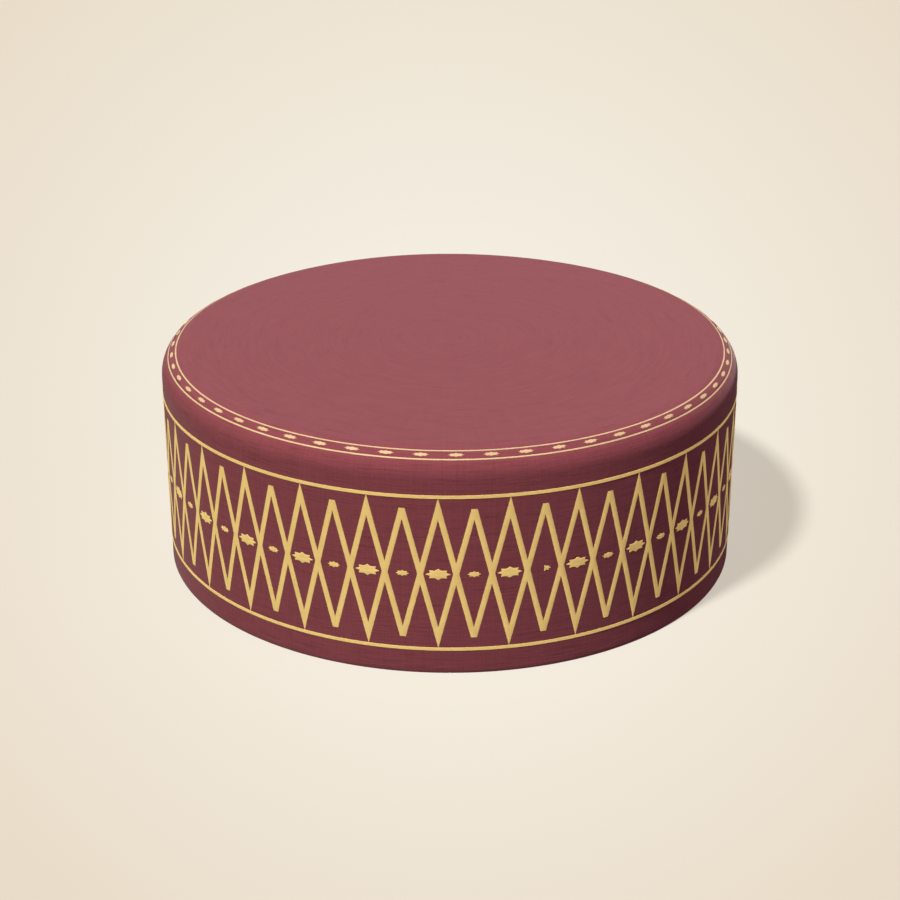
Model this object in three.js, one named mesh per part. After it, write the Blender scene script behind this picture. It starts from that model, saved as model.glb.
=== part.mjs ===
import * as THREE from 'three';

// Round flat-topped velvet cap with gold embroidery.
// Millimetres, +Z up, rim on z = 0 around the origin, front of the cap towards -Y.

// Cloth
const OUTER_RADIUS = 95;
const CAP_HEIGHT = 72;
const CLOTH_THICKNESS = 2.5;
const SHOULDER_RADIUS = 7.74;
const SHOULDER_STEPS = 3;
const RIM_EASE = 0.4;

// Seam between the top and the side band, in degrees down the shoulder from the flat top
const SEAM_DROP = 45;
const SEAM_GAP = 0.3;

// Repeat of the pattern, and where its two ends meet, in degrees to the right of the front
const REPEATS = 28;
const FACETS_PER_REPEAT = 3;
const PATTERN_JOIN = 17.18;

// Gold embroidery: clear space under the thread and how far the thread stands up from there
const THREAD_CLEARANCE = 0.25;
const THREAD_RISE = 0.4;
const TIP_GAP = 0.3;

const SIDE_LINES = [
  { name: 'side_upper_line', height: 58.72, width: 1.25 },
  { name: 'side_lower_line', height: 8.38, width: 1.25 },
];
const BORDER_LINES = [
  { name: 'top_border_inner_line', drop: 22.3, width: 0.7 },
  { name: 'top_border_outer_line', drop: 45, width: 0.7 },
];
const LINE_CREST = 0.6;

// Lattice: heights at which the middles of the legs meet, and level width of a leg
const LATTICE = { top: 54.9, bottom: 12.17, legWidth: 1.845 };

// Large stars of the side band
const STAR = { points: 8, width: 7.3, height: 3.9, notch: 0.77, edgeRise: 0.25, crestRise: 0.5 };

const VELVET = { color: '#7a3b43', roughness: 0.85, metalness: 0 };
const GOLD_THREAD = { color: '#dcbb78', roughness: 0.45, metalness: 0.2 };

const DEGREES = Math.PI / 180;
const SEGMENTS = REPEATS * FACETS_PER_REPEAT;
const SHOULDER_CENTRE_RADIUS = OUTER_RADIUS - SHOULDER_RADIUS;
const SHOULDER_CENTRE_HEIGHT = CAP_HEIGHT - SHOULDER_RADIUS;
const INNER_SHOULDER_RADIUS = SHOULDER_RADIUS - CLOTH_THICKNESS;
const STEP = 360 / REPEATS;
const THREAD_RADIUS = OUTER_RADIUS + THREAD_CLEARANCE;

// A place on the shoulder: degrees down from the flat top, at a distance from the arc's centre
function shoulderPoint(drop, distance) {
  const radius = SHOULDER_CENTRE_RADIUS + distance * Math.sin(drop * DEGREES);
  const height = SHOULDER_CENTRE_HEIGHT + distance * Math.cos(drop * DEGREES);
  return new THREE.Vector2(radius, height);
}

// The shoulder arc from one drop to another
function shoulderArc(fromDrop, toDrop, distance) {
  const points = [];
  for (let step = 0; step <= SHOULDER_STEPS; step += 1) {
    const drop = fromDrop + ((toDrop - fromDrop) * step) / SHOULDER_STEPS;
    points.push(shoulderPoint(drop, distance));
  }
  return points;
}

// Turns a profile of radius and height about the cap's upright axis
function turned(profile) {
  const geometry = new THREE.LatheGeometry(profile, SEGMENTS, PATTERN_JOIN * DEGREES);
  geometry.rotateX(Math.PI / 2);
  return geometry;
}

// Half of the seam's gap as degrees of the shoulder arc
function seamHalfGap() {
  const middleRadius = SHOULDER_RADIUS - CLOTH_THICKNESS / 2;
  return SEAM_GAP / 2 / middleRadius / DEGREES;
}

function crownTop() {
  const edge = SEAM_DROP - seamHalfGap();
  const underside = shoulderArc(0, edge, INNER_SHOULDER_RADIUS);
  const outside = shoulderArc(edge, 0, SHOULDER_RADIUS);
  const profile = [
    new THREE.Vector2(0, CAP_HEIGHT - CLOTH_THICKNESS),
    ...underside,
    ...outside,
    new THREE.Vector2(0, CAP_HEIGHT),
  ];
  return turned(profile);
}

function sideBand() {
  const edge = SEAM_DROP + seamHalfGap();
  const innerRadius = OUTER_RADIUS - CLOTH_THICKNESS;
  const profile = [
    new THREE.Vector2(innerRadius + RIM_EASE, 0),
    new THREE.Vector2(OUTER_RADIUS - RIM_EASE, 0),
    new THREE.Vector2(OUTER_RADIUS, RIM_EASE),
    ...shoulderArc(90, edge, SHOULDER_RADIUS),
    ...shoulderArc(edge, 90, INNER_SHOULDER_RADIUS),
    new THREE.Vector2(innerRadius, RIM_EASE),
    new THREE.Vector2(innerRadius + RIM_EASE, 0),
  ];
  return turned(profile);
}

// A line on the upright wall: flat foot and a narrower crest
function sideLine({ height, width }) {
  const crestRadius = THREAD_RADIUS + THREAD_RISE;
  const foot = width / 2;
  const crest = foot * LINE_CREST;
  const profile = [
    new THREE.Vector2(THREAD_RADIUS, height - foot),
    new THREE.Vector2(crestRadius, height - crest),
    new THREE.Vector2(crestRadius, height + crest),
    new THREE.Vector2(THREAD_RADIUS, height + foot),
    new THREE.Vector2(THREAD_RADIUS, height - foot),
  ];
  return turned(profile);
}

// A line on the rounded shoulder
function borderLine({ drop, width }) {
  const foot = SHOULDER_RADIUS + THREAD_CLEARANCE;
  const crest = foot + THREAD_RISE;
  const footHalf = width / 2 / foot / DEGREES;
  const crestHalf = footHalf * LINE_CREST;
  const profile = [
    shoulderPoint(drop + footHalf, foot),
    shoulderPoint(drop + crestHalf, crest),
    shoulderPoint(drop - crestHalf, crest),
    shoulderPoint(drop - footHalf, foot),
    shoulderPoint(drop + footHalf, foot),
  ];
  return turned(profile);
}

// A place on the upright wall: degrees to the right of the front, height, and lift off the cloth
function wallPoint(angle, height, lift) {
  const radius = THREAD_RADIUS + lift;
  const turn = angle * DEGREES;
  return [radius * Math.sin(turn), -radius * Math.cos(turn), height];
}

// Closed raised patch on the wall from convex outlines that share their corners.
// A corner is { angle, height, rise }; outlines run counter-clockwise as seen from outside.
function raisedPatch(outlines) {
  const corners = new Map();
  const positions = [];
  const indices = [];
  const edges = new Map();
  const cornerKey = (corner) => `${((corner.angle + 720) % 360).toFixed(4)} ${corner.height.toFixed(4)}`;
  const cornerIndex = (corner) => {
    const key = cornerKey(corner);
    if (!corners.has(key)) {
      corners.set(key, corners.size);
      positions.push(...wallPoint(corner.angle, corner.height, 0));
      positions.push(...wallPoint(corner.angle, corner.height, corner.rise));
    }
    return corners.get(key);
  };
  for (const outline of outlines) {
    const loop = outline.map(cornerIndex);
    for (let i = 1; i + 1 < loop.length; i += 1) {
      indices.push(2 * loop[0] + 1, 2 * loop[i] + 1, 2 * loop[i + 1] + 1);
      indices.push(2 * loop[0], 2 * loop[i + 1], 2 * loop[i]);
    }
    loop.forEach((start, i) => {
      const end = loop[(i + 1) % loop.length];
      const opposite = `${end} ${start}`;
      if (edges.has(opposite)) {
        edges.delete(opposite);
      } else {
        edges.set(`${start} ${end}`, [start, end]);
      }
    });
  }
  for (const [start, end] of edges.values()) {
    indices.push(2 * start, 2 * end, 2 * end + 1);
    indices.push(2 * start, 2 * end + 1, 2 * start + 1);
  }
  const geometry = new THREE.BufferGeometry();
  geometry.setAttribute('position', new THREE.Float32BufferAttribute(positions, 3));
  geometry.setIndex(indices);
  geometry.computeVertexNormals();
  return geometry;
}

// Outlines that meet at one crossing of the lattice: the crossing itself and four half legs.
// "side" is +1 when the pointed diamond lies to the right of the crossing, otherwise -1.
function crossingOutlines(angle, side) {
  const middle = (LATTICE.top + LATTICE.bottom) / 2;
  const reach = STEP / 4;
  const halfWidth = LATTICE.legWidth / 2 / OUTER_RADIUS / DEGREES;
  const slope = (LATTICE.top - middle) / reach;
  const halfDepth = halfWidth * slope;
  const pointedTip = SIDE_LINES[0].height - SIDE_LINES[0].width / 2 - TIP_GAP;
  const corner = (turn, height) => ({ angle: angle + turn, height, rise: THREAD_RISE });
  const outlines = [
    [
      corner(-halfWidth, middle),
      corner(0, middle - halfDepth),
      corner(halfWidth, middle),
      corner(0, middle + halfDepth),
    ],
  ];
  for (const turn of [-1, 1]) {
    for (const rise of [-1, 1]) {
      const end = turn === side ? pointedTip : LATTICE.top;
      const cut = end - middle;
      const cutHalf = (LATTICE.top - middle + halfDepth - cut) / slope;
      const halfLeg = [
        corner(0, middle + rise * halfDepth),
        corner(turn * halfWidth, middle),
        corner(turn * reach, middle + rise * (LATTICE.top - middle - halfDepth)),
        corner(turn * reach, middle + rise * cut),
        corner(turn * (reach - cutHalf), middle + rise * cut),
      ];
      outlines.push(turn * rise > 0 ? halfLeg : halfLeg.reverse());
    }
  }
  return outlines;
}

function sideLattice() {
  const outlines = [];
  for (let repeat = 0; repeat < REPEATS; repeat += 1) {
    const smallColumn = PATTERN_JOIN + repeat * STEP;
    outlines.push(...crossingOutlines(smallColumn + STEP / 4, 1));
    outlines.push(...crossingOutlines(smallColumn + (3 * STEP) / 4, -1));
  }
  return raisedPatch(outlines);
}

// Eight-pointed star, wider than tall, with its crest in the middle
function sideStar(column) {
  const middle = (LATTICE.top + LATTICE.bottom) / 2;
  const centre = { angle: column, height: middle, rise: STAR.crestRise };
  const rim = [];
  for (let i = 0; i < 2 * STAR.points; i += 1) {
    const turn = (i * Math.PI) / STAR.points;
    const reach = i % 2 === 0 ? 1 : STAR.notch;
    const across = (STAR.width / 2) * reach * Math.cos(turn);
    const upward = (STAR.height / 2) * reach * Math.sin(turn);
    rim.push({
      angle: column + across / OUTER_RADIUS / DEGREES,
      height: middle + upward,
      rise: STAR.edgeRise,
    });
  }
  const outlines = rim.map((corner, i) => [centre, corner, rim[(i + 1) % rim.length]]);
  return raisedPatch(outlines);
}

const cap = new THREE.Group();
cap.name = 'embroidered_velvet_cap';

function addPiece(name, geometry, look) {
  const mesh = new THREE.Mesh(geometry, new THREE.MeshStandardMaterial(look));
  mesh.name = name;
  cap.add(mesh);
}

addPiece('crown_top', crownTop(), VELVET);
addPiece('side_band', sideBand(), VELVET);
for (const line of BORDER_LINES) {
  addPiece(line.name, borderLine(line), GOLD_THREAD);
}
for (const line of SIDE_LINES) {
  addPiece(line.name, sideLine(line), GOLD_THREAD);
}
addPiece('side_lattice', sideLattice(), GOLD_THREAD);
for (let star = 0; star < REPEATS; star += 1) {
  const column = PATTERN_JOIN + (star + 0.5) * STEP;
  const number = String(star + 1).padStart(2, '0');
  addPiece(`side_star_${number}`, sideStar(column), GOLD_THREAD);
}

export default cap;
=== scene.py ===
"""Round velvet cap with gold embroidery: its cloth, its stitches and a plain stage."""

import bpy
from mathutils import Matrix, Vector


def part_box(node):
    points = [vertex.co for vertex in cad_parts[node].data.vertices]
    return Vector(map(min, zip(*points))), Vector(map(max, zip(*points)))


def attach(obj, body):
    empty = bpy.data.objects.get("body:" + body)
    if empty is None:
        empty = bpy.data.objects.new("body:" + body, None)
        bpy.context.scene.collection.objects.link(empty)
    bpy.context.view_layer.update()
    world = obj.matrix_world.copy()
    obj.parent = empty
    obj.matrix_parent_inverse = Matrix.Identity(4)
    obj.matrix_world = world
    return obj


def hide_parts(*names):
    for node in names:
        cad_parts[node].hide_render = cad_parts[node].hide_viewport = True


bl_info = {
    "name": "Embroidered Velvet Cap",
    "version": (1, 0, 0),
    "blender": (4, 5, 0),
    "location": "View3D > Sidebar > Velvet Cap",
    "description": "Makes the velvet, the gold embroidery and the stage of a round flat-topped cap",
    "category": "Object",
}

import math

import bpy
import numpy as np
from mathutils import Vector

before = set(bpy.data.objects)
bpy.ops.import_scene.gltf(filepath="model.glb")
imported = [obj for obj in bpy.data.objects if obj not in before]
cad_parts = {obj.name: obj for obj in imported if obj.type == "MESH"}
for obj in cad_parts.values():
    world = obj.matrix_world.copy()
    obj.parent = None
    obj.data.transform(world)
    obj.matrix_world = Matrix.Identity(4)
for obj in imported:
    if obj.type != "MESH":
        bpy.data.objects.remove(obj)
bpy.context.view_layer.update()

MM = 0.001
OUTER_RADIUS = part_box("side_band")[1].x
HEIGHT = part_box("crown_top")[1].z
LARGE_STAR_NODES = sorted(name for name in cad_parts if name.startswith("side_star_"))


def linear(hex_colour):
    """Turns an sRGB hex value to linear red, green, blue and alpha"""
    channels = [int(hex_colour[i:i + 2], 16) / 255 for i in (1, 3, 5)]
    bright = [c / 12.92 if c <= 0.04045 else ((c + 0.055) / 1.055) ** 2.4 for c in channels]
    return (*bright, 1.0)


# Settings that a user would change

def length_setting(name, description, default):
    """Setting for a length in metres"""
    return bpy.props.FloatProperty(name=name, description=description, default=default, unit="LENGTH")


def pair_setting(name, description, default, unit):
    """Setting for two lengths or two angles"""
    return bpy.props.FloatVectorProperty(
        name=name,
        description=description,
        size=2,
        default=default,
        unit=unit,
    )


def angle_setting(name, description, degrees):
    """Setting for an angle, with its default in degrees"""
    return bpy.props.FloatProperty(
        name=name,
        description=description,
        default=math.radians(degrees),
        subtype="ANGLE",
    )


def colour_setting(name, description, hex_colour):
    """Setting for a colour, with its default as an sRGB hex value"""
    return bpy.props.FloatVectorProperty(
        name=name,
        description=description,
        size=4,
        default=linear(hex_colour),
        min=0.0,
        max=1.0,
        subtype="COLOR",
    )


class CapCloth(bpy.types.PropertyGroup):
    """Sizes of the velvet"""

    outer_radius: length_setting(
        "Outer radius", "From the cap's axis to the outside of the side band", OUTER_RADIUS,
    )
    height: length_setting("Height", "From the rim to the flat top", HEIGHT)
    thickness: length_setting("Cloth thickness", "Velvet with its backing", 2.5 * MM)
    shoulder_radius: length_setting(
        "Shoulder radius", "Bend between the side band and the flat top", 7.74 * MM,
    )
    seam_drop: angle_setting(
        "Seam drop",
        "Angle down the shoulder, from the flat top, where top and band are sewn together",
        45,
    )
    seam_gap: length_setting("Seam gap", "Width of the groove between the two pieces of cloth", 0.3 * MM)
    edge_roll: length_setting(
        "Edge roll", "Radius to which the cut edges of the cloth are turned", 0.3 * MM,
    )
    softness: length_setting(
        "Softness", "How far the cloth swells and sinks between its stitches", 0.1 * MM,
    )


class CapPattern(bpy.types.PropertyGroup):
    """Sizes of the embroidered pattern"""

    repeats: bpy.props.IntProperty(
        name="Repeats",
        description="Pointed diamonds around the cap",
        default=len(LARGE_STAR_NODES),
        min=4,
    )
    join_turn: angle_setting(
        "Join", "Angle to the right of the front where the two ends of the pattern meet", 17.18,
    )
    lattice_top: length_setting(
        "Lattice top", "Height where the middles of two legs meet at the top", 54.9 * MM,
    )
    lattice_bottom: length_setting(
        "Lattice bottom", "Height where the middles of two legs meet at the bottom", 12.32 * MM,
    )
    leg_width: length_setting(
        "Leg width",
        "Level width of one leg of the lattice; standing stitches look a little wider",
        1.77 * MM,
    )
    upper_line: length_setting("Upper line", "Height of the line above the lattice", 58.72 * MM)
    lower_line: length_setting("Lower line", "Height of the line below the lattice", 8.38 * MM)
    side_line_width: length_setting(
        "Side line width",
        "Width of the two lines of the side band; standing threads look a little wider",
        1.07 * MM,
    )
    inner_line_drop: angle_setting(
        "Inner border line", "Angle of the inner border line down the shoulder from the flat top", 22.3,
    )
    outer_line_drop: angle_setting(
        "Outer border line", "Angle of the outer border line down the shoulder from the flat top", 45,
    )
    border_line_width: length_setting(
        "Border line width", "Width of the two lines of the shoulder border", 0.45 * MM,
    )
    star_height: length_setting(
        "Star height", "Height of the middles of the side band's stars", 33.54 * MM,
    )
    large_star: pair_setting(
        "Large star", "Width and height of the stars in the pointed diamonds",
        (7.54 * MM, 3.72 * MM), "LENGTH",
    )
    small_star: pair_setting(
        "Small star", "Width and height of the stars in the flat-ended diamonds",
        (4.03 * MM, 1.96 * MM), "LENGTH",
    )
    border_star: pair_setting(
        "Border star", "Width and height of the stars of the shoulder border",
        (4.97 * MM, 1.3 * MM), "LENGTH",
    )
    star_notch: bpy.props.FloatProperty(
        name="Star notch",
        description="How near the notches between a star's points come to its middle",
        default=0.71,
        min=0.3,
        max=1.0,
    )


class CapThread(bpy.types.PropertyGroup):
    """Sizes of the gold thread"""

    satin_pitch: length_setting("Satin pitch", "Distance from one satin stitch to the next", 0.4 * MM)
    satin_rise: length_setting(
        "Satin rise", "How far a satin stitch stands up from the cloth", 0.12 * MM,
    )
    laid_rise: bpy.props.FloatProperty(
        name="Laid thread rise",
        description="How far the side band's laid threads stand up from the pile, as a share of a width",
        default=0.36,
        min=0.05,
        max=1.0,
    )
    border_rise: bpy.props.FloatProperty(
        name="Border thread rise",
        description="How far the border's laid threads stand up from the pile, as a share of a width",
        default=0.18,
        min=0.05,
        max=1.0,
    )
    couching_per_repeat: bpy.props.IntProperty(
        name="Couching stitches",
        description="Small stitches over each line in one repeat of the pattern",
        default=5,
        min=1,
    )
    stray: length_setting("Stray", "How far a stitch's ends stray from their places", 0.03 * MM)
    seed: bpy.props.IntProperty(
        name="Hand",
        description="Seed for the small unevenness of hand stitching",
        default=7,
    )


class CapColours(bpy.types.PropertyGroup):
    """Colours of the velvet, the thread and the floor"""

    velvet: colour_setting("Velvet", "Colour down in the pile", "#773A3E")
    # Painted sheen: the flat top takes a paler, less red colour for the pile seen at a slant there
    velvet_top_painted_sheen: colour_setting(
        "Brushed velvet", "Colour of the pile on the flat top, where it is brushed down", "#753C40",
    )
    velvet_tips: colour_setting(
        "Velvet tips", "Colour of the tips of the pile seen at a slant", "#F2E3E1",
    )
    velvet_back: colour_setting("Velvet back", "Colour of the woven back inside the cap", "#5E2A35")
    gold: colour_setting("Gold", "Colour of the thread on the side band", "#DFC886")
    gold_deep: colour_setting(
        "Deep gold", "Colour of the darker turns of the side band's thread", "#D5BD78",
    )
    # The border's paler, duller gold is a painted highlight: it stands in for the whitened gleam where the
    # shoulder faces the key light
    border_gold_painted_highlight: colour_setting("Pale gold", "Colour of the thread on the shoulder border", "#D3BB94")
    border_gold_deep_painted_highlight: colour_setting(
        "Deep pale gold", "Colour of the darker turns of the border's thread", "#C8B088",
    )
    # The floor's colour near the cap and its deeper far colour paint a pool of light, darker away from the
    # cap
    floor: colour_setting("Floor", "Colour of the floor around the cap", "#F4EFE1")
    floor_far_painted_shade: colour_setting("Far floor", "Colour of the floor away from the cap", "#E8DCC7")


class CapStage(bpy.types.PropertyGroup):
    """Camera and light"""

    camera_distance: length_setting(
        "Camera distance", "From the point that the camera looks at", 663.87 * MM,
    )
    camera_elevation: angle_setting("Camera elevation", "Angle of the view above level", 24.007)
    look_height: length_setting(
        "Look height", "Height on the cap's axis that the camera looks at", 31.458 * MM,
    )
    focal_length: bpy.props.FloatProperty(
        name="Focal length",
        description="Lens on a 36 mm sensor",
        default=78.163,
        unit="CAMERA",
    )
    key_from: pair_setting(
        "Key light direction", "Angle of the key light to the right of the front, and above level",
        (math.radians(-43), math.radians(54.5)), "ROTATION",
    )
    key_strength: bpy.props.FloatProperty(
        name="Key light strength",
        description="Strength of the key light, from the front left",
        default=4.95,
    )
    key_width: angle_setting("Key light width", "How wide the key light looks from the cap", 6.5)
    fill_from: pair_setting(
        "Fill light direction", "Angle of the fill light to the right of the front, and above level",
        (math.radians(54), math.radians(40)), "ROTATION",
    )
    fill_strength: bpy.props.FloatProperty(
        name="Fill light strength",
        description="Strength of the cool light that opens the shaded side, from the front right",
        default=1.25,
    )
    fill_colour: colour_setting("Fill light colour", "Colour of the fill light", "#F6E4FF")
    back_from: pair_setting(
        "Back light direction", "Angle of the back light to the right of the front, and above level",
        (math.radians(175), math.radians(32)), "ROTATION",
    )
    back_strength: bpy.props.FloatProperty(
        name="Back light strength",
        description="Strength of the light from behind",
        default=1.1,
    )
    soft_width: angle_setting(
        "Soft light width", "How wide the fill light and the back light look from the cap", 20,
    )
    room_strength: bpy.props.FloatProperty(
        name="Room light strength",
        description="Strength of the even light from all around",
        default=0.03,
    )
    room_colour: colour_setting(
        "Room light colour", "Colour of the even light from all around", "#FFFAF2",
    )


# Shared helpers

# The swell of the cloth sets in over this height above the rim
RIM_CALM = 6 * MM


def node(tree, kind, settings=None, **inputs):
    """Adds a shader node, with its settings, and links or sets its inputs by name or number"""
    made = tree.nodes.new(kind)
    for key, value in (settings or {}).items():
        setattr(made, key, value)
    for key, value in inputs.items():
        socket = made.inputs[int(key[1:]) if key[1:].isdigit() else key.replace("_", " ")]
        if isinstance(value, bpy.types.NodeSocket):
            tree.links.new(value, socket)
        else:
            socket.default_value = value
    return made


def new_material(name):
    """Adds an empty node material and returns it with its tree"""
    material = bpy.data.materials.new(name)
    material.use_nodes = True
    material.node_tree.nodes.clear()
    return material, material.node_tree


def soft_swell(turn, along):
    """Low swell of the cloth, from two sets of long waves, as a share of its softness"""
    # Waves around the cap, their length over the cloth divided by two pi, and their share of the swell
    crossed_waves, crossed_length, crossed_share = 5, 17 * MM, 0.6
    slanted_waves, slanted_length, slanted_share = 3, 23 * MM, 0.4
    # Where the waves start, as angles
    around_start, over_start, slanted_start = 0.7, 0.4, 1.9
    crossed = np.sin(crossed_waves * turn + around_start) * np.sin(along / crossed_length + over_start)
    slanted = np.sin(slanted_waves * turn - along / slanted_length + slanted_start)
    return crossed_share * crossed + slanted_share * slanted


def on_cloth(turn, along, lift):
    """Places on the cap's outside.

    turn is the angle to the right of the front, along the distance over the cloth from the rim
    up the band and over the shoulder towards the middle of the top, and lift the height off the cloth.
    """
    cloth = bpy.context.scene.cap_cloth
    turn, along, lift = np.broadcast_arrays(turn, along, lift)
    wall = cloth.height - cloth.shoulder_radius
    bend = np.clip((along - wall) / cloth.shoulder_radius, 0, math.pi / 2)
    over = np.maximum(along - wall - cloth.shoulder_radius * math.pi / 2, 0)
    middle = cloth.outer_radius - cloth.shoulder_radius
    # The swell dies out at the rim, which stands flat, and at the middle of the top
    calm = np.clip((middle - over) / middle, 0, 1) * np.clip(along / RIM_CALM, 0, 1)
    reach = cloth.shoulder_radius + lift + cloth.softness * calm * soft_swell(turn, along)
    radius = middle - over + reach * np.cos(bend)
    height = np.minimum(along, wall) + reach * np.sin(bend)
    return np.stack([radius * np.sin(turn), -radius * np.cos(turn), height], axis=-1)


def shoulder_along(drop):
    """Distance over the cloth from the rim to a place on the shoulder"""
    cloth = bpy.context.scene.cap_cloth
    wall = cloth.height - cloth.shoulder_radius
    return wall + cloth.shoulder_radius * (math.pi / 2 - drop)


def grid_faces(rows, columns, wrap_rows=False, wrap_columns=False):
    """Corner numbers of the quads of a grid of points stored row by row"""
    row = np.arange(rows if wrap_rows else rows - 1)[:, None]
    column = np.arange(columns if wrap_columns else columns - 1)[None, :]
    next_row = (row + 1) % rows
    next_column = (column + 1) % columns
    corners = np.broadcast_arrays(
        row * columns + column,
        row * columns + next_column,
        next_row * columns + next_column,
        next_row * columns + column,
    )
    return np.stack(corners, axis=-1).reshape(-1, 4)


def add_mesh(name, points, faces, material):
    """Makes a smooth mesh object in the scene"""
    mesh = bpy.data.meshes.new(name)
    mesh.from_pydata(np.asarray(points).reshape(-1, 3).tolist(), [], faces)
    if mesh.validate():
        raise ValueError(f"{name} has a face with a corner that is missing or named twice")
    mesh.shade_smooth()
    mesh.materials.append(material)
    made = bpy.data.objects.new(name, mesh)
    bpy.context.scene.collection.objects.link(made)
    return made


def add_piece(name, points, faces, material, replaced=()):
    """Makes a mesh piece that rides on the cap and stands for the given solids"""
    piece = add_mesh(name, points, faces, material)
    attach(piece, "root")
    if replaced:
        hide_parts(*replaced)
    return piece


# Materials

def woven_threads(tree, over, spread, step):
    """Uneven threads of a weave: spread gives their places around the cap, and step their size over it"""
    place = node(
        tree, "ShaderNodeVectorMath", {"operation": "MULTIPLY_ADD"}, _0=over, _1=(0, 0, 1 / step), _2=spread,
    ).outputs["Vector"]
    return node(
        tree, "ShaderNodeTexNoise", Vector=place, Scale=1.0, Detail=2.0, Roughness=0.6,
    ).outputs["Fac"]


def cut_pile_velvet():
    """Cotton velvet, woven with a short cut pile.

    The pile drinks light face on and glows at a slant; the rows it was woven in stay as faint streaks
    around and up the band, and as rings on the top.
    """
    found = bpy.data.materials.get("cotton_velvet_cut_pile")
    if found:
        return found
    cloth = bpy.context.scene.cap_cloth
    colours = bpy.context.scene.cap_colours
    material, tree = new_material("cotton_velvet_cut_pile")
    place = node(tree, "ShaderNodeTexCoord").outputs["Object"]
    height = node(tree, "ShaderNodeSeparateXYZ", Vector=place).outputs["Z"]
    level = node(
        tree, "ShaderNodeVectorMath", {"operation": "MULTIPLY"}, _0=place, _1=(1, 1, 0),
    ).outputs["Vector"]
    radius = node(tree, "ShaderNodeVectorMath", {"operation": "LENGTH"}, _0=level).outputs["Value"]
    outward = node(tree, "ShaderNodeVectorMath", {"operation": "NORMALIZE"}, _0=level).outputs["Vector"]

    # Rows around the cap: on the band 0.48 mm apart and 10 mm long, drawn coarser than the weave to show,
    # and on the top, where they are rings, as coarse again
    row_pitch = 0.48 * MM
    row_length = 10 * MM
    ring_share = 0.45
    over = node(
        tree, "ShaderNodeMath", {"operation": "MULTIPLY_ADD"}, _0=radius, _1=-ring_share, _2=height,
    ).outputs["Value"]
    over_only = node(tree, "ShaderNodeCombineXYZ", Z=over).outputs["Vector"]
    row_spread = node(
        tree, "ShaderNodeVectorMath", {"operation": "SCALE"}, _0=level, Scale=1 / row_length,
    ).outputs["Vector"]
    rows = woven_threads(tree, over_only, row_spread, row_pitch)

    # Threads up the cap: 0.65 mm apart on the band and 15 mm long, also drawn coarser to show
    upright_pitch = 0.65 * MM
    upright_length = 15 * MM
    upright_spread = node(
        tree, "ShaderNodeVectorMath", {"operation": "SCALE"},
        _0=outward, Scale=cloth.outer_radius / upright_pitch,
    ).outputs["Vector"]
    uprights = woven_threads(tree, over_only, upright_spread, upright_length)

    # Tufts of the pile, also drawn coarser to show
    tuft_size = 0.35 * MM
    tufts = node(
        tree, "ShaderNodeTexNoise", Vector=place, Scale=1 / tuft_size, Detail=2.0, Roughness=0.7,
    ).outputs["Fac"]

    # The rows show more than the uprights, and a few of them, the slubs, stand apart as thin dark streaks
    upright_share = 0.6
    slub_depth = 0.25
    weave = node(
        tree, "ShaderNodeMath", {"operation": "MULTIPLY_ADD"}, _0=uprights, _1=upright_share, _2=rows,
    ).outputs["Value"]
    pile = node(tree, "ShaderNodeMath", {"operation": "ADD"}, _0=weave, _1=tufts).outputs["Value"]
    slubs = node(
        tree, "ShaderNodeMapRange", {"interpolation_type": "SMOOTHSTEP"},
        Value=rows, From_Min=0.42, From_Max=0.3,
    ).outputs["Result"]
    tone = node(
        tree, "ShaderNodeMath", {"operation": "MULTIPLY_ADD"}, _0=slubs, _1=-slub_depth, _2=pile,
    ).outputs["Value"]
    streaks = node(
        tree, "ShaderNodeMapRange",
        Value=tone, From_Min=0.48, From_Max=2.08, To_Min=0.65, To_Max=1.35,
    ).outputs["Result"]

    # The flat top is brushed smoother than the band. Its colour is also shifted a little, paler and less red,
    # as painted sheen for the pile seen at a slant on the top. The shoulder passes from one to the other, up
    # to 2 mm short of the outside
    brushed_to = cloth.outer_radius - cloth.shoulder_radius
    upright_from = cloth.outer_radius - 2 * MM
    brushed_streaks = 0.6
    off_top = node(
        tree, "ShaderNodeMapRange", Value=radius, From_Min=brushed_to, From_Max=upright_from,
    ).outputs["Result"]
    streak_share = node(
        tree, "ShaderNodeMapRange", Value=off_top, To_Min=brushed_streaks, To_Max=1.0,
    ).outputs["Result"]
    brightness = node(
        tree, "ShaderNodeMix", {"data_type": "FLOAT"}, _0=streak_share, _2=1.0, _3=streaks,
    ).outputs[0]
    # Painted sheen: the top's colour shift stands in for the pile's gleam at a slant
    dyed_with_painted_sheen = node(
        tree, "ShaderNodeMix", {"data_type": "RGBA"},
        _0=off_top, _6=colours.velvet_top_painted_sheen, _7=colours.velvet,
    ).outputs[2]
    shade = node(
        tree, "ShaderNodeVectorMath", {"operation": "SCALE"}, _0=dyed_with_painted_sheen, Scale=brightness,
    ).outputs["Vector"]
    bump = node(tree, "ShaderNodeBump", Strength=0.5, Distance=0.15 * MM, Height=pile)
    shader = node(
        tree, "ShaderNodeBsdfPrincipled",
        Base_Color=shade, Roughness=0.9, Normal=bump.outputs["Normal"],
        Specular_IOR_Level=0.1, Sheen_Weight=0.22, Sheen_Roughness=0.33, Sheen_Tint=colours.velvet_tips,
    )
    node(tree, "ShaderNodeOutputMaterial", Surface=shader.outputs["BSDF"])
    return material


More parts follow.
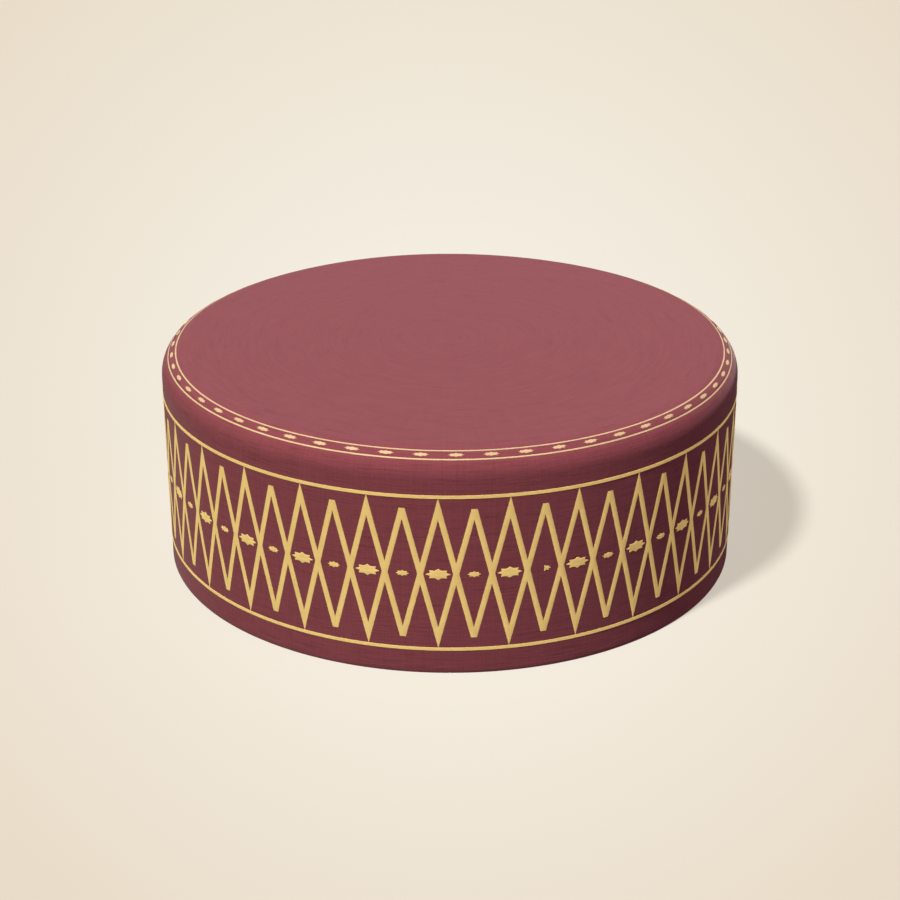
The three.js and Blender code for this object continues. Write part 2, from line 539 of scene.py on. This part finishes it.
def woven_velvet_back():
    """Back of the velvet, a plain cotton weave: matt, with threads over and under"""
    found = bpy.data.materials.get("cotton_plain_weave_back")
    if found:
        return found
    colours = bpy.context.scene.cap_colours
    material, tree = new_material("cotton_plain_weave_back")
    place = node(tree, "ShaderNodeTexCoord").outputs["Object"]
    # Threads over and under, and thicker and thinner stretches of them
    thread_pitch = 0.6 * MM
    slub_length = 1.5 * MM
    weave = node(tree, "ShaderNodeTexChecker", Vector=place, Scale=1 / thread_pitch).outputs["Fac"]
    slubs = node(tree, "ShaderNodeTexNoise", Vector=place, Scale=1 / slub_length, Detail=3.0).outputs["Fac"]
    height = node(tree, "ShaderNodeMath", {"operation": "ADD"}, _0=weave, _1=slubs).outputs["Value"]
    brightness = node(
        tree, "ShaderNodeMapRange",
        Value=height, From_Min=0.3, From_Max=1.7, To_Min=0.85, To_Max=1.15,
    ).outputs["Result"]
    shade = node(
        tree, "ShaderNodeVectorMath", {"operation": "SCALE"},
        _0=colours.velvet_back[:3], Scale=brightness,
    ).outputs["Vector"]
    bump = node(tree, "ShaderNodeBump", Strength=0.4, Distance=0.1 * MM, Height=height)
    shader = node(
        tree, "ShaderNodeBsdfPrincipled",
        Base_Color=shade, Roughness=0.95, Normal=bump.outputs["Normal"], Specular_IOR_Level=0.2,
    )
    node(tree, "ShaderNodeOutputMaterial", Surface=shader.outputs["BSDF"])
    return material


def gilt_thread(name, light, deep):
    """Gilt embroidery thread, fine metal strip wound round a silk core: a soft satin gleam"""
    found = bpy.data.materials.get(name)
    if found:
        return found
    material, tree = new_material(name)
    place = node(tree, "ShaderNodeTexCoord").outputs["Object"]
    # Turns of the strip, and lengths of thread that were wound tighter or looser
    turn_pitch = 0.25 * MM
    even_length = 4 * MM
    turns = node(tree, "ShaderNodeTexNoise", Vector=place, Scale=1 / turn_pitch, Detail=1.0).outputs["Fac"]
    lengths = node(tree, "ShaderNodeTexNoise", Vector=place, Scale=1 / even_length, Detail=1.0).outputs["Fac"]
    mixed = node(tree, "ShaderNodeMath", {"operation": "ADD"}, _0=turns, _1=lengths).outputs["Value"]
    share = node(tree, "ShaderNodeMapRange", Value=mixed, From_Min=0.6, From_Max=1.4).outputs["Result"]
    shade = node(
        tree, "ShaderNodeMix", {"data_type": "RGBA"}, _0=share, _6=deep, _7=light,
    ).outputs[2]
    bump = node(tree, "ShaderNodeBump", Strength=0.25, Distance=0.05 * MM, Height=turns)
    # The strip covers about three quarters of the silk, and its many turns scatter the gleam
    shader = node(
        tree, "ShaderNodeBsdfPrincipled",
        Base_Color=shade, Metallic=0.75, Roughness=0.85, Normal=bump.outputs["Normal"],
    )
    node(tree, "ShaderNodeOutputMaterial", Surface=shader.outputs["BSDF"])
    return material


def side_thread():
    """Thread of the side band: a full gold"""
    colours = bpy.context.scene.cap_colours
    return gilt_thread("gilt_thread_wound", colours.gold, colours.gold_deep)


def border_thread():
    """Thread of the shoulder border: paler than the side band's, a painted highlight for the shoulder that
    faces the key light
    """
    colours = bpy.context.scene.cap_colours
    return gilt_thread("gilt_thread_painted_highlight", colours.border_gold_painted_highlight, colours.border_gold_deep_painted_highlight)


def opal_sheet():
    """Wide sheet of matt opal plastic that glows though no lamp is under it, painted light that keeps its
    cast shadow pale; even near the cap, its tone deepens far away as painted shade
    """
    colours = bpy.context.scene.cap_colours
    material, tree = new_material("opal_plastic_matt_sheet")
    place = node(tree, "ShaderNodeTexCoord").outputs["Object"]
    parts = node(tree, "ShaderNodeSeparateXYZ", Vector=place)

    # Painted shade, a pool of light painted on the floor: the tone deepens in ovals around a place behind the
    # cap, from the even ring to the far ring. They are drawn in shares of the distance from a place far in
    # front, so they widen towards the back
    front = 676 * MM
    middle = 70 * MM
    half_width = 170 * MM
    half_depth = 417.76 * MM
    even_ring, far_ring = 0.35, 1.42
    oval = (half_width / (front + middle), half_depth / (front + middle), 1.0)
    depth = node(
        tree, "ShaderNodeMath", {"operation": "ADD"}, _0=parts.outputs["Y"], _1=front,
    ).outputs["Value"]
    across = node(
        tree, "ShaderNodeMath", {"operation": "DIVIDE"}, _0=parts.outputs["X"], _1=depth,
    ).outputs["Value"]
    behind = node(
        tree, "ShaderNodeMath", {"operation": "SUBTRACT"}, _0=parts.outputs["Y"], _1=middle,
    ).outputs["Value"]
    back = node(tree, "ShaderNodeMath", {"operation": "DIVIDE"}, _0=behind, _1=depth).outputs["Value"]
    apart = node(tree, "ShaderNodeCombineXYZ", X=across, Y=back).outputs["Vector"]
    stretched = node(
        tree, "ShaderNodeVectorMath", {"operation": "DIVIDE"}, _0=apart, _1=oval,
    ).outputs["Vector"]
    distance = node(tree, "ShaderNodeVectorMath", {"operation": "LENGTH"}, _0=stretched).outputs["Value"]
    share = node(
        tree, "ShaderNodeMapRange", Value=distance, From_Min=even_ring, From_Max=far_ring,
    ).outputs["Result"]
    shade = node(
        tree, "ShaderNodeMix", {"data_type": "RGBA"},
        _0=share, _6=colours.floor, _7=colours.floor_far_painted_shade,
    ).outputs[2]

    # Up to half a metre off, about half of the brightness is lamp light thrown back and the rest painted
    # glow; from 1.5 m off, all of it is painted glow
    near, far = 0.5, 1.5
    near_above, near_painted_glow = 0.276, 0.527
    reach = node(tree, "ShaderNodeVectorMath", {"operation": "LENGTH"}, _0=place).outputs["Value"]
    from_above = node(
        tree, "ShaderNodeMapRange",
        Value=reach, From_Min=near, From_Max=far, To_Min=near_above, To_Max=0.0,
    ).outputs["Result"]
    painted_glow_share = node(
        tree, "ShaderNodeMapRange",
        Value=reach, From_Min=near, From_Max=far, To_Min=near_painted_glow, To_Max=1.0,
    ).outputs["Result"]
    thrown_back = node(
        tree, "ShaderNodeVectorMath", {"operation": "SCALE"}, _0=shade, Scale=from_above,
    ).outputs["Vector"]
    painted_glow_colour = node(
        tree, "ShaderNodeVectorMath", {"operation": "SCALE"}, _0=shade, Scale=painted_glow_share,
    ).outputs["Vector"]
    # Painted shadow tint: what is thrown back is a little cooler and the painted glow a little warmer, so the
    # cast shadow is warm
    cool_tint = (0.945, 0.967, 1.0)
    warm_gain = (0.1, 0.06, 0.0)
    cooled = node(
        tree, "ShaderNodeVectorMath", {"operation": "MULTIPLY"}, _0=thrown_back, _1=cool_tint,
    ).outputs["Vector"]
    warm_painted_glow = node(
        tree, "ShaderNodeVectorMath", {"operation": "MULTIPLY_ADD"},
        _0=thrown_back, _1=warm_gain, _2=painted_glow_colour,
    ).outputs["Vector"]
    # The emission is painted glow: the floor is no lamp
    shader = node(
        tree, "ShaderNodeBsdfPrincipled",
        Base_Color=cooled, Roughness=0.95, Specular_IOR_Level=0.0,
        Emission_Color=warm_painted_glow, Emission_Strength=1.0,
    )
    node(tree, "ShaderNodeOutputMaterial", Surface=shader.outputs["BSDF"])
    return material


# Cloth

# Points around the cap, a dozen to each repeat of the pattern
AROUND = 12 * len(LARGE_STAR_NODES)
BAND_ROWS = 60
BAND_BACK_ROWS = 24
SHOULDER_ROWS = 14
TOP_ROWS = 50
# The rings of the flat top end here, and a fan of faces closes them
TOP_HUB = 1.5 * MM
# A rolled edge is drawn by the two ends and the middle of its bend, which lies this share of its radius in
ROLL_MIDDLE = 0.3


def band_profile():
    """Loop of (along, lift) places around a cut through the side band, and its back's start and count"""
    cloth = bpy.context.scene.cap_cloth
    roll = cloth.edge_roll
    turned = ROLL_MIDDLE * roll
    back = -cloth.thickness
    top = shoulder_along(cloth.seam_drop) - cloth.seam_gap / 2
    outside = [(a, 0.0) for a in np.linspace(roll, top - roll, BAND_ROWS)]
    top_edge = [(top - turned, -turned), (top, -roll), (top, back + roll)]
    inside = [(a, back) for a in np.linspace(top - roll, roll, BAND_BACK_ROWS)]
    rim = [(turned, back + turned), (0.0, back + roll), (0.0, -roll), (turned, -turned)]
    return outside + top_edge + inside + rim, len(outside) + len(top_edge), len(inside)


class CAP_OT_side_band(bpy.types.Operator):
    """Make the upright velvet band of the cap"""

    bl_idname = "cap.side_band"
    bl_label = "Side band"

    def execute(self, context):
        loop, back_start, back_count = band_profile()
        along, lift = np.array(loop).T
        turn = np.linspace(0, 2 * math.pi, AROUND, endpoint=False)
        points = on_cloth(turn[None, :], along[:, None], lift[:, None])
        faces = grid_faces(len(loop), AROUND, wrap_rows=True, wrap_columns=True)
        piece = add_piece(
            "velvet_side_band", points, faces.tolist(), cut_pile_velvet(), ["side_band"],
        )
        piece.data.materials.append(woven_velvet_back())
        # The back takes in the faces that join it to the top edge and to the rim
        row = np.arange(len(faces)) // AROUND
        on_back = (row >= back_start - 1) & (row < back_start + back_count)
        piece.data.polygons.foreach_set("material_index", on_back.astype(np.int32))
        return {"FINISHED"}


class CAP_OT_crown_top(bpy.types.Operator):
    """Make the flat velvet top with its edge turned over the shoulder"""

    bl_idname = "cap.crown_top"
    bl_label = "Crown top"

    def execute(self, context):
        cloth = context.scene.cap_cloth
        roll = cloth.edge_roll
        turned = ROLL_MIDDLE * roll
        back = -cloth.thickness
        edge = shoulder_along(cloth.seam_drop) + cloth.seam_gap / 2
        flat_start = shoulder_along(0.0)
        middle = flat_start + cloth.outer_radius - cloth.shoulder_radius
        over_shoulder = np.linspace(edge + roll, flat_start, SHOULDER_ROWS)
        on_top = np.linspace(flat_start, middle - TOP_HUB, TOP_ROWS)[1:]
        outside = [(a, 0.0) for a in (*over_shoulder, *on_top)]
        # The inside shows less, so it has every second ring
        inside = [(a, back) for a in (*on_top[::-2], *over_shoulder[::-2])]
        seam_edge = [(edge, back + roll), (edge, -roll), (edge + turned, -turned)]
        loop = inside + seam_edge + outside
        along, lift = np.array(loop).T
        turn = np.linspace(0, 2 * math.pi, AROUND, endpoint=False)
        rings = on_cloth(turn[None, :], along[:, None], lift[:, None]).reshape(-1, 3)
        hubs = on_cloth(0.0, middle, np.array([back, 0.0]))
        faces = grid_faces(len(loop), AROUND, wrap_columns=True).tolist()
        low_hub = len(rings)
        high_hub = len(rings) + 1
        last_ring = len(rings) - AROUND
        for i in range(AROUND):
            following = (i + 1) % AROUND
            faces.append([low_hub, following, i])
            faces.append([high_hub, last_ring + i, last_ring + following])
        piece = add_piece(
            "velvet_crown_top", np.concatenate([rings, hubs]), faces,
            cut_pile_velvet(), ["crown_top"],
        )
        piece.data.materials.append(woven_velvet_back())
        # The rings start on the inside, and so does each pair of faces of the two fans
        on_back = np.zeros(len(faces), np.int32)
        on_back[: len(inside) * AROUND] = 1
        on_back[(len(loop) - 1) * AROUND::2] = 1
        piece.data.polygons.foreach_set("material_index", on_back)
        return {"FINISHED"}


# Embroidery

# Across a stitch: (place, height) as shares of its width and rise
STITCH_SECTION = ((-0.5, 0.75), (0.0, 1.0), (0.5, 0.75))
# Along a stitch: the length over which an end dips, and the most of a short stitch that one dip takes
STITCH_DIP = 0.3 * MM
STITCH_DIP_SHARE = 0.4
# How far its ends go under the cloth, as a share of its rise, and the share of a dip that lies there
STITCH_SINK = 0.3
STITCH_UNDER = 0.25
# How far a stitch's rise may differ from the usual one, as a share of it
STITCH_UNEVEN = 0.1


def stitches(starts, ends, width, rise):
    """Points and faces of straight stitches between (turn, along) places.

    Each stitch dips into the cloth at both ends and is rounded across.
    """
    cloth = bpy.context.scene.cap_cloth
    scale = np.array([cloth.outer_radius, 1.0])
    starts = np.asarray(starts, float) * scale
    ends = np.asarray(ends, float) * scale
    length = np.linalg.norm(ends - starts, axis=1, keepdims=True)
    run = (ends - starts) / length
    # The stitch is made longer by what lies under the cloth
    dip = np.minimum(STITCH_DIP, STITCH_DIP_SHARE * length)
    starts = starts - run * dip * STITCH_UNDER
    ends = ends + run * dip * STITCH_UNDER
    middle = np.stack([starts, starts + run * dip, ends - run * dip, ends], axis=1)
    sideways = np.stack([-run[:, 1], run[:, 0]], axis=1)
    offset = np.array([place for place, _ in STITCH_SECTION])[:, None]
    place = middle[:, :, None, :] + sideways[:, None, None, :] * offset * width
    lift = np.full((middle.shape[1], len(STITCH_SECTION)), -STITCH_SINK)
    lift[1:-1] = [height for _, height in STITCH_SECTION]
    lift = np.broadcast_to(rise, len(starts))[:, None, None] * lift
    points = on_cloth(place[..., 0] / cloth.outer_radius, place[..., 1], lift).reshape(-1, 3)
    one = grid_faces(*lift.shape[1:])[:, ::-1]
    first_corner = lift[0].size * np.arange(len(starts))
    faces = (one[None] + first_corner[:, None, None]).reshape(-1, 4)
    return points, faces


def lattice_rows():
    """Level stitches of one repeat, as (height, left end, right end) from the middle of a diamond"""
    cloth = bpy.context.scene.cap_cloth
    pattern = bpy.context.scene.cap_pattern
    thread = bpy.context.scene.cap_thread
    half_step = math.pi * cloth.outer_radius / pattern.repeats
    half_leg = pattern.leg_width / 2
    slope = (pattern.lattice_top - pattern.lattice_bottom) / half_step
    tip = half_leg * slope
    low = max(pattern.lattice_bottom - tip, pattern.lower_line + pattern.side_line_width / 2)
    high = min(pattern.lattice_top + tip, pattern.upper_line - pattern.side_line_width / 2)
    middle_rows = round((pattern.lattice_top - pattern.lattice_bottom) / thread.satin_pitch)
    pitch = (pattern.lattice_top - pattern.lattice_bottom) / middle_rows
    first = -int((pattern.lattice_bottom - low) / pitch)
    last = middle_rows + int((high - pattern.lattice_top) / pitch)
    rows = []
    for height in pattern.lattice_bottom + (np.arange(first, last) + 0.5) * pitch:
        from_top = (pattern.lattice_top - height) / slope
        # Past the heights where the middles of the legs meet, one stitch fills the tip
        beyond = max(-from_top, from_top - half_step)
        if beyond > 0:
            rows.append((height, beyond - half_leg, half_leg - beyond))
            continue
        # Where the two legs of this half overlap, one stitch crosses both
        inner, outer = sorted((from_top, half_step - from_top))
        spans = [[inner - half_leg, inner + half_leg], [outer - half_leg, outer + half_leg]]
        if spans[1][0] < spans[0][1]:
            spans = [[spans[0][0], spans[1][1]]]
        # A stitch that reaches past this half runs on over the next one, and any other has its mirror image
        for left, right in spans:
            meets_middle = left < 0
            meets_end = right > half_step
            if meets_middle and not meets_end:
                rows.append((height, -right, right))
            elif meets_end and not meets_middle:
                rows.append((height, left, 2 * half_step - left))
            else:
                rows.append((height, left, right))
                rows.append((height, -right, -left))
    return rows


class CAP_OT_lattice(bpy.types.Operator):
    """Stitch the lattice of long diamonds in level satin stitch"""

    bl_idname = "cap.lattice"
    bl_label = "Lattice"

    def execute(self, context):
        cloth = context.scene.cap_cloth
        pattern = context.scene.cap_pattern
        thread = context.scene.cap_thread
        hand = np.random.default_rng(thread.seed)
        height, left, right = np.array(lattice_rows()).T
        column = pattern.join_turn + (np.arange(pattern.repeats) + 0.5) * 2 * math.pi / pattern.repeats
        turn_left = (column[:, None] + left[None, :] / cloth.outer_radius).ravel()
        turn_right = (column[:, None] + right[None, :] / cloth.outer_radius).ravel()
        along = np.tile(height, pattern.repeats)
        stray = hand.uniform(-thread.stray, thread.stray, (2, len(along))) / cloth.outer_radius
        starts = np.stack([turn_left + stray[0], along], axis=1)
        ends = np.stack([turn_right + stray[1], along], axis=1)
        rise = thread.satin_rise * hand.uniform(1 - STITCH_UNEVEN, 1 + STITCH_UNEVEN, len(along))
        points, faces = stitches(starts, ends, thread.satin_pitch, rise)
        add_piece(
            "lattice_stitches", points, faces.tolist(), side_thread(), ["side_lattice"],
        )
        return {"FINISHED"}


# Section of a laid thread: a round pressed square, a little wider than its share of the line,
# with its foot just under the cloth
LAID_SIDES = 12
LAID_SQUARENESS = 0.6
LAID_SPREAD = 1.1
LAID_SINK = 0.1
# Points along a line from one couching stitch to the next, how far a stitch presses the threads down, and
# how soon they rise again beside it
LAID_STEPS = 6
LAID_PRESS = 0.15
LAID_RECOVERY = 8
# Threads side by side in a line of the side band and in one of the border
LAID_SIDE_THREADS = 3
LAID_BORDER_THREADS = 2
# A couching stitch reaches just past the line, as a share of its width, is narrower than a thread,
# stands a little above it and strays further than a satin stitch
COUCHING_REACH = 0.56
COUCHING_WIDTH = 0.7
COUCHING_RISE = 1.2
COUCHING_STRAY = 2


def laid_line(name, along, width, count, rise_share, material, replaced):
    """A line of threads laid side by side and held down by small couching stitches"""
    cloth = bpy.context.scene.cap_cloth
    pattern = bpy.context.scene.cap_pattern
    thread = bpy.context.scene.cap_thread
    hand = np.random.default_rng(thread.seed)
    thread_width = width / count
    rise = rise_share * thread_width
    holds = pattern.repeats * thread.couching_per_repeat
    around = holds * LAID_STEPS
    turn = np.linspace(0, 2 * math.pi, around, endpoint=False)
    pressed = 1 - LAID_PRESS * np.sin(holds * turn / 2) ** LAID_RECOVERY
    corner = 2 * math.pi * np.arange(LAID_SIDES) / LAID_SIDES
    section = np.stack([np.sin(corner), np.cos(corner)])
    sideways, upward = np.sign(section) * np.abs(section) ** LAID_SQUARENESS
    lift = rise * ((1 - LAID_SINK) - (1 + LAID_SINK) * upward) / 2
    one = grid_faces(around, LAID_SIDES, wrap_rows=True, wrap_columns=True)
    all_points = []
    all_faces = []
    for i in range(count):
        middle = along + (i - (count - 1) / 2) * thread_width
        place = middle + LAID_SPREAD / 2 * thread_width * sideways
        points = on_cloth(pattern.join_turn + turn[:, None], place, lift * pressed[:, None])
        all_points.append(points.reshape(-1, 3))
        all_faces.append(one + i * around * LAID_SIDES)

    # The couching stitches lie where the threads are pressed down
    hold_turn = pattern.join_turn + (np.arange(holds) + 0.5) * 2 * math.pi / holds
    stray = COUCHING_STRAY * thread.stray
    hold_turn = hold_turn + hand.uniform(-stray, stray, holds) / cloth.outer_radius
    reach = COUCHING_REACH * width
    starts = np.stack([hold_turn, np.full(holds, along - reach)], axis=1)
    ends = np.stack([hold_turn, np.full(holds, along + reach)], axis=1)
    points, faces = stitches(starts, ends, COUCHING_WIDTH * thread_width, COUCHING_RISE * rise)
    all_points.append(points)
    all_faces.append(faces + count * around * LAID_SIDES)
    add_piece(
        name, np.concatenate(all_points), np.concatenate(all_faces).tolist(),
        material, replaced,
    )


class CAP_OT_lines(bpy.types.Operator):
    """Lay and couch the two lines of the side band and the two lines of the shoulder border"""

    bl_idname = "cap.lines"
    bl_label = "Lines"

    def execute(self, context):
        pattern = context.scene.cap_pattern
        thread = context.scene.cap_thread
        side = (pattern.side_line_width, LAID_SIDE_THREADS, thread.laid_rise, side_thread())
        border = (pattern.border_line_width, LAID_BORDER_THREADS, thread.border_rise, border_thread())
        inner = shoulder_along(pattern.inner_line_drop)
        outer = shoulder_along(pattern.outer_line_drop)
        laid_line("upper_line_threads", pattern.upper_line, *side, ["side_upper_line"])
        laid_line("lower_line_threads", pattern.lower_line, *side, ["side_lower_line"])
        laid_line("border_inner_threads", inner, *border, ["top_border_inner_line"])
        laid_line("border_outer_threads", outer, *border, ["top_border_outer_line"])
        return {"FINISHED"}


# Rings of a star from its middle out: (reach, height of a thread, depth of the grooves beside it)
STAR_RINGS = (
    (0.08, 0.9, 0.05),
    (0.4, 1.0, 0.25),
    (0.88, 1.0, 0.45),
    (0.98, 0.85, 0.4),
    (1.01, -0.3, 0.0),
)
STAR_POINTS = 8
LARGE_STAR_THREADS = 32
SMALL_STAR_THREADS = 24
# Points across each thread of a star, from one groove to the next
STAR_STEPS = 4
# Height of a star's middle, where its threads go down
STAR_MIDDLE = 0.6
# How far the half star goes to the left, as a share of its half width
HALF_STAR_LEFT = 0.06
# Least value to divide by
TINY = 1e-6


def star_reach(angle, notch):
    """Distance from a star's middle to its edge, as a share of its points' reach"""
    sector = math.pi / STAR_POINTS
    place = np.abs((angle + sector) % (2 * sector) - sector)
    tip = np.array([1.0, 0.0])
    valley = notch * np.array([math.cos(sector), math.sin(sector)])
    edge = valley - tip
    return (tip[0] * edge[1] - tip[1] * edge[0]) / (np.cos(place) * edge[1] - np.sin(place) * edge[0])


def stars(columns, along, size, threads, left_end=1.0):
    """Points and faces of eight-pointed stars whose threads all run out from the middle.

    left_end is how far the star goes to the left, as a share of its half width.
    """
    scene = bpy.context.scene
    rise = scene.cap_thread.satin_rise
    angle = np.linspace(0, 2 * math.pi, STAR_STEPS * threads, endpoint=False)
    to_left = np.maximum(-np.cos(angle), TINY)
    reach = np.minimum(star_reach(angle, scene.cap_pattern.star_notch), left_end / to_left)
    groove_share = (1 - np.cos(threads * angle)) / 2
    ring_reach, crest, groove = np.array(STAR_RINGS).T[:, :, None]
    lift = rise * (crest - groove * groove_share)
    across = size[0] / 2 * ring_reach * reach * np.cos(angle)
    upward = size[1] / 2 * ring_reach * reach * np.sin(angle)
    columns = np.asarray(columns, float)
    radius = np.linalg.norm(on_cloth(0.0, along, 0.0)[:2])
    rings = on_cloth(columns[:, None, None] + across / radius, along + upward, lift)
    middles = on_cloth(columns, along, STAR_MIDDLE * rise)
    points = np.concatenate([rings.reshape(len(columns), -1, 3), middles[:, None, :]], axis=1)
    one = grid_faces(len(STAR_RINGS), len(angle), wrap_columns=True)[:, ::-1].tolist()
    hub = points.shape[1] - 1
    one += [[hub, i, (i + 1) % len(angle)] for i in range(len(angle))]
    faces = []
    for star in range(len(columns)):
        faces += [[corner + star * points.shape[1] for corner in face] for face in one]
    return points.reshape(-1, 3), faces


class CAP_OT_stars(bpy.types.Operator):
    """Stitch the large, small and border stars"""

    bl_idname = "cap.stars"
    bl_label = "Stars"

    def execute(self, context):
        pattern = context.scene.cap_pattern
        step = 2 * math.pi / pattern.repeats
        number = np.arange(pattern.repeats)
        height = pattern.star_height

        columns = pattern.join_turn + (number + 0.5) * step
        points, faces = stars(columns, height, pattern.large_star, LARGE_STAR_THREADS)
        add_piece(
            "large_star_stitches", points, faces, side_thread(), LARGE_STAR_NODES,
        )

        # The first small star lies on the join of the pattern, where its left side was not stitched
        columns = pattern.join_turn + number * step
        small = (height, pattern.small_star, SMALL_STAR_THREADS)
        points, faces = stars(columns[1:], *small)
        half_points, half_faces = stars(columns[:1], *small, left_end=HALF_STAR_LEFT)
        faces += [[corner + len(points) for corner in face] for face in half_faces]
        points = np.concatenate([points, half_points])
        add_piece("small_star_stitches", points, faces, side_thread())

        drop = (pattern.inner_line_drop + pattern.outer_line_drop) / 2
        columns = pattern.join_turn + (np.arange(2 * pattern.repeats) + 0.5) * step / 2
        points, faces = stars(columns, shoulder_along(drop), pattern.border_star, SMALL_STAR_THREADS)
        add_piece("border_star_stitches", points, faces, border_thread())
        return {"FINISHED"}


# Stage

# The floor is flat to here, then bends up to a low wall, so that no view looks past it
FLOOR_FLAT = 2.0
FLOOR_BEND = 1.0
FLOOR_TOP = 1.6
# Rings of points on the flat part, as shares of its reach, then points around and over the bend
FLOOR_FLAT_RINGS = (0.2, 0.6)
FLOOR_SIDES = 96
FLOOR_BEND_STEPS = 13
# Width of the camera's sensor in millimetres
SENSOR_WIDTH = 36


def round_cove():
    """Points and faces of the floor"""
    bend = np.linspace(0, math.pi / 2, FLOOR_BEND_STEPS)
    flat = FLOOR_FLAT * np.array(FLOOR_FLAT_RINGS)
    wall = FLOOR_FLAT + FLOOR_BEND
    radius = np.concatenate([flat, FLOOR_FLAT + FLOOR_BEND * np.sin(bend), [wall]])[:, None]
    height = np.concatenate([0 * flat, FLOOR_BEND * (1 - np.cos(bend)), [FLOOR_TOP]])[:, None]
    turn = np.linspace(0, 2 * math.pi, FLOOR_SIDES, endpoint=False)
    rings = np.broadcast_arrays(radius * np.sin(turn), -radius * np.cos(turn), height)
    faces = grid_faces(len(radius), FLOOR_SIDES, wrap_columns=True)[:, ::-1].tolist()
    faces.append(list(range(FLOOR_SIDES)))
    return np.stack(rings, axis=-1), faces


def towards(turn, elevation):
    """Direction from the cap to a place at an angle to the right of the front and above level"""
    level = math.cos(elevation)
    return Vector((level * math.sin(turn), -level * math.cos(turn), math.sin(elevation)))


def add_sun(name, place, strength, width, shadow, colour=(1.0, 1.0, 1.0)):
    """Adds a far light that shines on the cap from a direction"""
    light = bpy.data.lights.new(name, "SUN")
    light.energy = strength
    light.angle = width
    light.color = colour
    light.use_shadow = shadow
    lamp = bpy.data.objects.new(name, light)
    lamp.rotation_euler = towards(*place).to_track_quat("Z", "Y").to_euler()
    bpy.context.scene.collection.objects.link(lamp)


class CAP_OT_stage(bpy.types.Operator):
    """Add the floor, the light and the camera"""

    bl_idname = "cap.stage"
    bl_label = "Stage"

    def execute(self, context):
        scene = context.scene
        stage = scene.cap_stage
        points, faces = round_cove()
        floor = add_mesh("floor", points, faces, opal_sheet())
        # The sheet shows in the gleam of the thread, but throws no light up on the velvet
        floor.visible_diffuse = False

        soft = stage.soft_width
        add_sun("key", stage.key_from, stage.key_strength, stage.key_width, shadow=True)
        add_sun(
            "fill", stage.fill_from, stage.fill_strength, soft,
            shadow=False, colour=stage.fill_colour[:3],
        )
        add_sun("back", stage.back_from, stage.back_strength, soft, shadow=False)

        world = bpy.data.worlds.new("studio")
        world.use_nodes = True
        backdrop = world.node_tree.nodes["Background"]
        backdrop.inputs["Color"].default_value = stage.room_colour
        backdrop.inputs["Strength"].default_value = stage.room_strength
        scene.world = world
        # Shows each colour as it is given
        scene.view_settings.view_transform = "Standard"

        lens = bpy.data.cameras.new("camera")
        lens.lens = stage.focal_length
        lens.sensor_width = SENSOR_WIDTH
        camera = bpy.data.objects.new("camera", lens)
        direction = towards(0.0, stage.camera_elevation)
        camera.location = Vector((0, 0, stage.look_height)) + direction * stage.camera_distance
        camera.rotation_euler = direction.to_track_quat("Z", "Y").to_euler()
        scene.collection.objects.link(camera)
        scene.camera = camera
        return {"FINISHED"}


# Panel and classes

class CAP_PT_panel(bpy.types.Panel):
    """Steps that make the cap, and their settings"""

    bl_idname = "CAP_PT_panel"
    bl_label = "Velvet Cap"
    bl_space_type = "VIEW_3D"
    bl_region_type = "UI"
    bl_category = "Velvet Cap"

    def draw(self, context):
        for operator in OPERATORS:
            self.layout.operator(operator.bl_idname)
        for name in SETTINGS:
            settings = getattr(context.scene, name)
            box = self.layout.box()
            for key in settings.bl_rna.properties.keys():
                if key not in ("rna_type", "name"):
                    box.prop(settings, key)


SETTINGS = {
    "cap_cloth": CapCloth,
    "cap_pattern": CapPattern,
    "cap_thread": CapThread,
    "cap_colours": CapColours,
    "cap_stage": CapStage,
}
OPERATORS = (
    CAP_OT_crown_top,
    CAP_OT_side_band,
    CAP_OT_lines,
    CAP_OT_lattice,
    CAP_OT_stars,
    CAP_OT_stage,
)


def register():
    for kind in (*SETTINGS.values(), *OPERATORS, CAP_PT_panel):
        bpy.utils.register_class(kind)
    for name, kind in SETTINGS.items():
        setattr(bpy.types.Scene, name, bpy.props.PointerProperty(type=kind))


def unregister():
    for name in SETTINGS:
        delattr(bpy.types.Scene, name)
    for kind in (CAP_PT_panel, *reversed(OPERATORS), *reversed(list(SETTINGS.values()))):
        bpy.utils.unregister_class(kind)


def main():
    register()
    bpy.ops.cap.crown_top()
    bpy.ops.cap.side_band()
    bpy.ops.cap.lines()
    bpy.ops.cap.lattice()
    bpy.ops.cap.stars()
    bpy.ops.cap.stage()


if __name__ == "__main__":
    main()
